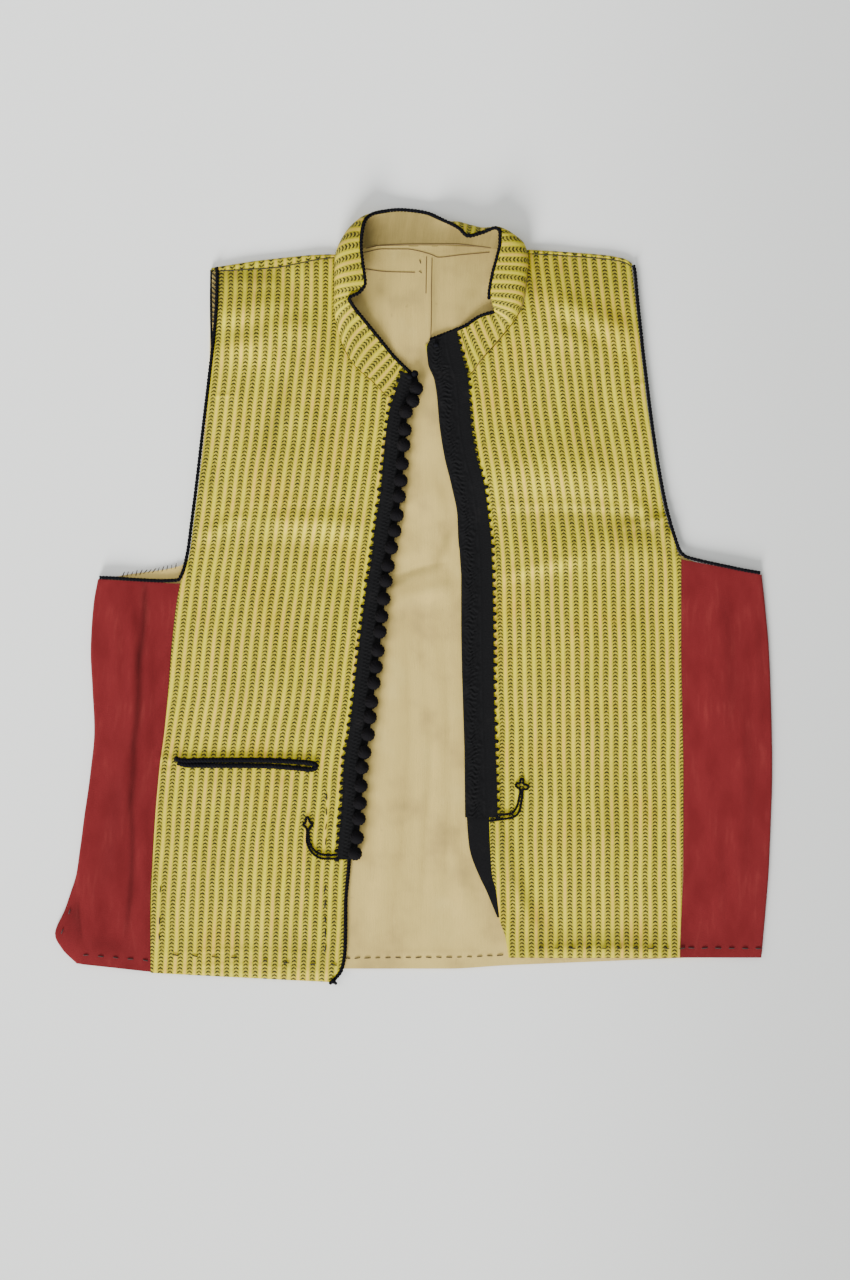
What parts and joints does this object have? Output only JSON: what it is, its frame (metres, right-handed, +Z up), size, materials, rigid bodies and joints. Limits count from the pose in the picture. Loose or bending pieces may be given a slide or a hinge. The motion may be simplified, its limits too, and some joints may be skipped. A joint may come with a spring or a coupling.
{
  "type": "folk waistcoat",
  "caption": "Sleeveless folk-dress vest laid flat and open: striped fronts and back, plain side panels, stand collar, black front bands, a row of ball buttons and a corded pocket.",
  "frame": {"origin": "middle of the garment's outline, on the surface that it lies on", "axes": "+Z up, out of the surface that it lies on; +Y from the hem to the neck; +X to the wearer's left"},
  "size_m": [0.5445, 0.5872, 0.0198],
  "materials": {
    "striped_yellow_twill": "matt",
    "red_plain_weave": "matt",
    "beige_lining_cotton": "matt",
    "black_trimming": "matt",
    "black_wool_cord": "matt"
  },
  "bodies": {
    "root": {"back": "striped_yellow_twill", "front_right": "striped_yellow_twill", "front_left": "striped_yellow_twill", "collar": "striped_yellow_twill", "back_lining": "beige_lining_cotton", "collar_lining": "beige_lining_cotton", "side_panel_right": "red_plain_weave", "side_panel_left": "red_plain_weave", "band_facing": "black_trimming", "band_right": "black_trimming", "band_left": "black_trimming", "button_01": "black_wool_cord", "button_02": "black_wool_cord", "button_03": "black_wool_cord", "button_04": "black_wool_cord", "button_05": "black_wool_cord", "button_06": "black_wool_cord", "button_07": "black_wool_cord", "button_08": "black_wool_cord", "button_09": "black_wool_cord", "button_10": "black_wool_cord", "button_11": "black_wool_cord", "button_12": "black_wool_cord", "button_13": "black_wool_cord", "button_14": "black_wool_cord", "button_15": "black_wool_cord", "button_16": "black_wool_cord", "button_17": "black_wool_cord", "button_18": "black_wool_cord", "button_19": "black_wool_cord", "button_20": "black_wool_cord", "button_21": "black_wool_cord", "button_22": "black_wool_cord", "button_23": "black_wool_cord", "button_24": "black_wool_cord", "button_25": "black_wool_cord", "button_26": "black_wool_cord", "button_27": "black_wool_cord", "button_28": "black_wool_cord", "button_29": "black_wool_cord", "armhole_cord_right": "black_wool_cord", "armhole_cord_left": "black_wool_cord", "front_edge_cord": "black_wool_cord", "pocket_cord": "black_wool_cord", "loop_cord_right": "black_wool_cord", "loop_cord_left": "black_wool_cord", "collar_cord": "black_wool_cord"}
  },
  "joints": []
}
